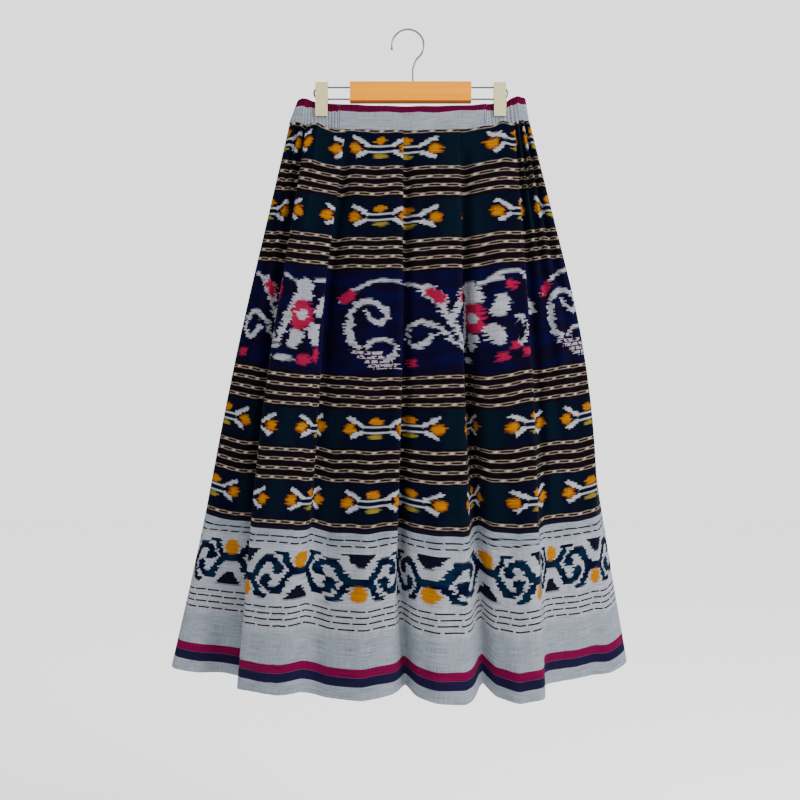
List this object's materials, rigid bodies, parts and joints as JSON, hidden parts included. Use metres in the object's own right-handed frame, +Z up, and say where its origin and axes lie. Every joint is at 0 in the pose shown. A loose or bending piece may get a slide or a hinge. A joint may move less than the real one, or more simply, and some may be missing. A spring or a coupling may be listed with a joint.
{
  "type": "pleated ikat skirt on a clip hanger",
  "caption": "Long pleated skirt of woven ikat with an elastic waistband, hung flat from a wooden bar hanger with wire ends, plastic clips and a round hook.",
  "frame": {"origin": "under the top bend of the hanger's hook, where a rail or nail carries it", "axes": "+Z up, front of the skirt faces -Y, +X is to the right seen from the front"},
  "size_m": [0.7134, 0.1789, 1.0138],
  "materials": {
    "ikat_cloth": "woven ikat cotton, matt",
    "band_cloth": "woven ikat cotton, matt",
    "elastic_cloth": "woven ikat cotton gathered over elastic, matt",
    "bar_wood": "varnished",
    "hook_metal": "plated",
    "rod_metal": "plated, dulled",
    "clip_plastic": "semi-gloss"
  },
  "bodies": {
    "root": {"front_panel": "ikat_cloth", "back_panel": "ikat_cloth", "front_waistband": "band_cloth", "elastic_waistband": "elastic_cloth", "hanger_bar": "bar_wood", "hanger_hook": "hook_metal", "wire_left": "rod_metal", "wire_right": "rod_metal", "clip_left": "clip_plastic", "clip_right": "clip_plastic"}
  },
  "joints": []
}
